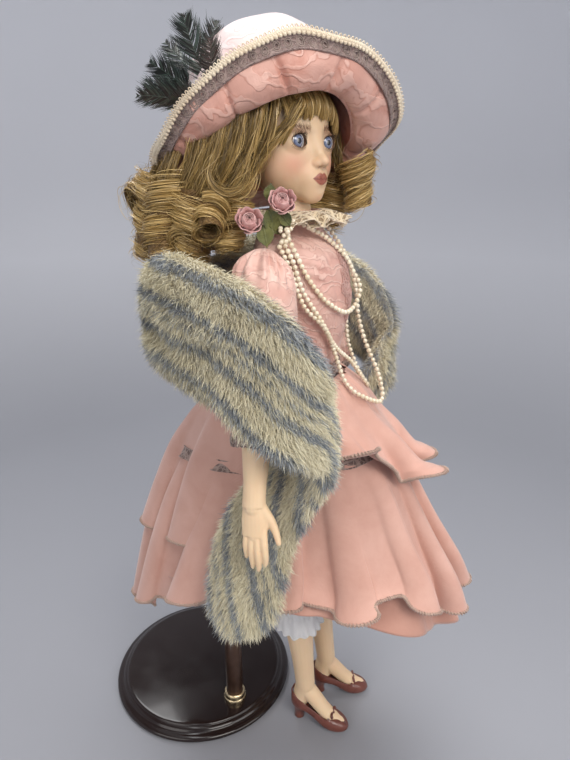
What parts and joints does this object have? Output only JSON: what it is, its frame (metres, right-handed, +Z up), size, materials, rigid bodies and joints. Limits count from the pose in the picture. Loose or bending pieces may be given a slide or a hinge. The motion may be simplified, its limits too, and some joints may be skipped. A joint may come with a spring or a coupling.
{
  "type": "porcelain doll",
  "caption": "Dressed porcelain doll with wide-brimmed hat, ringlets, fur stole, pearls and tiered skirt on a round display stand; head, arms, legs, hat and stand height move.",
  "frame": {"origin": "foot of the stand's rod, on the surface that the stand rests on", "axes": "+Z up along the rod; the doll's body faces -Y and her left is +X"},
  "size_m": [0.2188, 0.2957, 0.5045],
  "materials": {
    "black_plastic": "high gloss moulded black",
    "felt": "pressed felt",
    "steel": "bright wire and hardware",
    "brass": "satin brass",
    "bronze_tube": "bronze-brown metallic paint",
    "vinyl": "soft vinyl sleeve",
    "muslin": "plain stuffed cotton",
    "bisque": "matt painted bisque porcelain, brown glazed shoes",
    "pink_brocade": "satin brocade with embossed leaves",
    "cream_lace": "cotton lace and braid",
    "rose_ribbon": "folded satin ribbon",
    "leaf_fabric": "olive cloth",
    "pearl": "pearlised bead",
    "taupe_lace": "metallic-thread lace",
    "white_cotton": "cotton lawn",
    "chiffon": "peach-pink chiffon over lining",
    "faux_fur": "ivory pile with blue-grey stripes",
    "pate_card": "pressed card crown",
    "blue_glass": "painted blue glass eye",
    "blonde_hair": "golden synthetic hair",
    "coral_satin": "satin over buckram",
    "taupe_ribbon": "sheer ribbon",
    "black_feather": "black feathers with a green-blue sheen"
  },
  "bodies": {
    "base": {"stand_base": "black_plastic", "base_pad": "felt", "base_screw": "steel", "tube_plug": "brass", "foot_ring": "brass", "stand_tube": "bronze_tube", "lock_collar": "bronze_tube", "thumb_screw": "brass"},
    "rod": {"stand_rod": "bronze_tube", "rod_stop": "bronze_tube"},
    "doll": {"clip_hub": "steel", "waist_clip": "steel", "clip_tips": "vinyl", "torso": "muslin", "shoulder_plate": "bisque", "bodice": "pink_brocade", "collar_band": "pink_brocade", "collar_ruffle": "cream_lace", "rosebuds": "rose_ribbon", "rose_leaves": "leaf_fabric", "pearls_short": "pearl", "pearls_long": "pearl", "waist_lace": "taupe_lace", "petticoat": "white_cotton", "skirt": "chiffon", "peplum": "chiffon", "fur_stole": "faux_fur"},
    "head": {"head": "bisque", "crown_pate": "pate_card", "eye_right": "blue_glass", "eye_left": "blue_glass", "neck_bolt": "steel", "neck_washer": "steel", "neck_nut": "brass", "wig_cap": "blonde_hair", "fringe": "blonde_hair", "curls_right": "blonde_hair", "curls_left": "blonde_hair", "curls_back": "blonde_hair"},
    "hat": {"hat_shell": "coral_satin", "hat_lining": "pink_brocade", "brim_braid": "cream_lace", "brim_ribbon": "taupe_ribbon", "feathers": "black_feather"},
    "right_arm": {"upper_arm_right": "muslin", "sleeve_right": "pink_brocade", "cuff_right": "taupe_lace", "forearm_right": "bisque"},
    "left_arm": {"upper_arm_left": "muslin", "sleeve_left": "pink_brocade", "cuff_left": "taupe_lace", "forearm_left": "bisque"},
    "right_leg": {"upper_leg_right": "muslin", "pantalette_right": "white_cotton", "lower_leg_right": "bisque"},
    "left_leg": {"upper_leg_left": "muslin", "pantalette_left": "white_cotton", "lower_leg_left": "bisque"}
  },
  "joints": [
    {"name": "stand_height", "type": "slide", "parent": "base", "child": "rod", "axis": [0, 0, 1], "range_m": [0, 0.05]},
    {"name": "doll_turn", "type": "hinge", "parent": "rod", "child": "doll", "pos_m": [0, 0, 0.264], "axis": [0, 0, 1], "range_deg": [-20, 20]},
    {"name": "head_turn", "type": "hinge", "parent": "doll", "child": "head", "pos_m": [0.004, -0.046, 0.388], "axis": [0, 0, 1], "range_deg": [-20, 35], "deforming": ["curls_right"]},
    {"name": "hat_lift", "type": "slide", "parent": "head", "child": "hat", "axis": [0.4284, 0.3857, 0.8171], "range_m": [0, 0.08]},
    {"name": "right_arm_swing", "type": "hinge", "parent": "doll", "child": "right_arm", "pos_m": [-0.04, -0.046, 0.368], "axis": [-1, 0, 0], "range_deg": [-15, 40], "deforming": ["fur_stole"]},
    {"name": "left_arm_swing", "type": "hinge", "parent": "doll", "child": "left_arm", "pos_m": [0.048, -0.046, 0.368], "axis": [-1, 0, 0], "range_deg": [-15, 40], "deforming": ["fur_stole"]},
    {"name": "right_leg_swing", "type": "hinge", "parent": "doll", "child": "right_leg", "pos_m": [-0.008, -0.046, 0.246], "axis": [-1, 0, 0], "range_deg": [-2, 25]},
    {"name": "left_leg_swing", "type": "hinge", "parent": "doll", "child": "left_leg", "pos_m": [0.022, -0.046, 0.246], "axis": [-1, 0, 0], "range_deg": [-2, 25]}
  ]
}
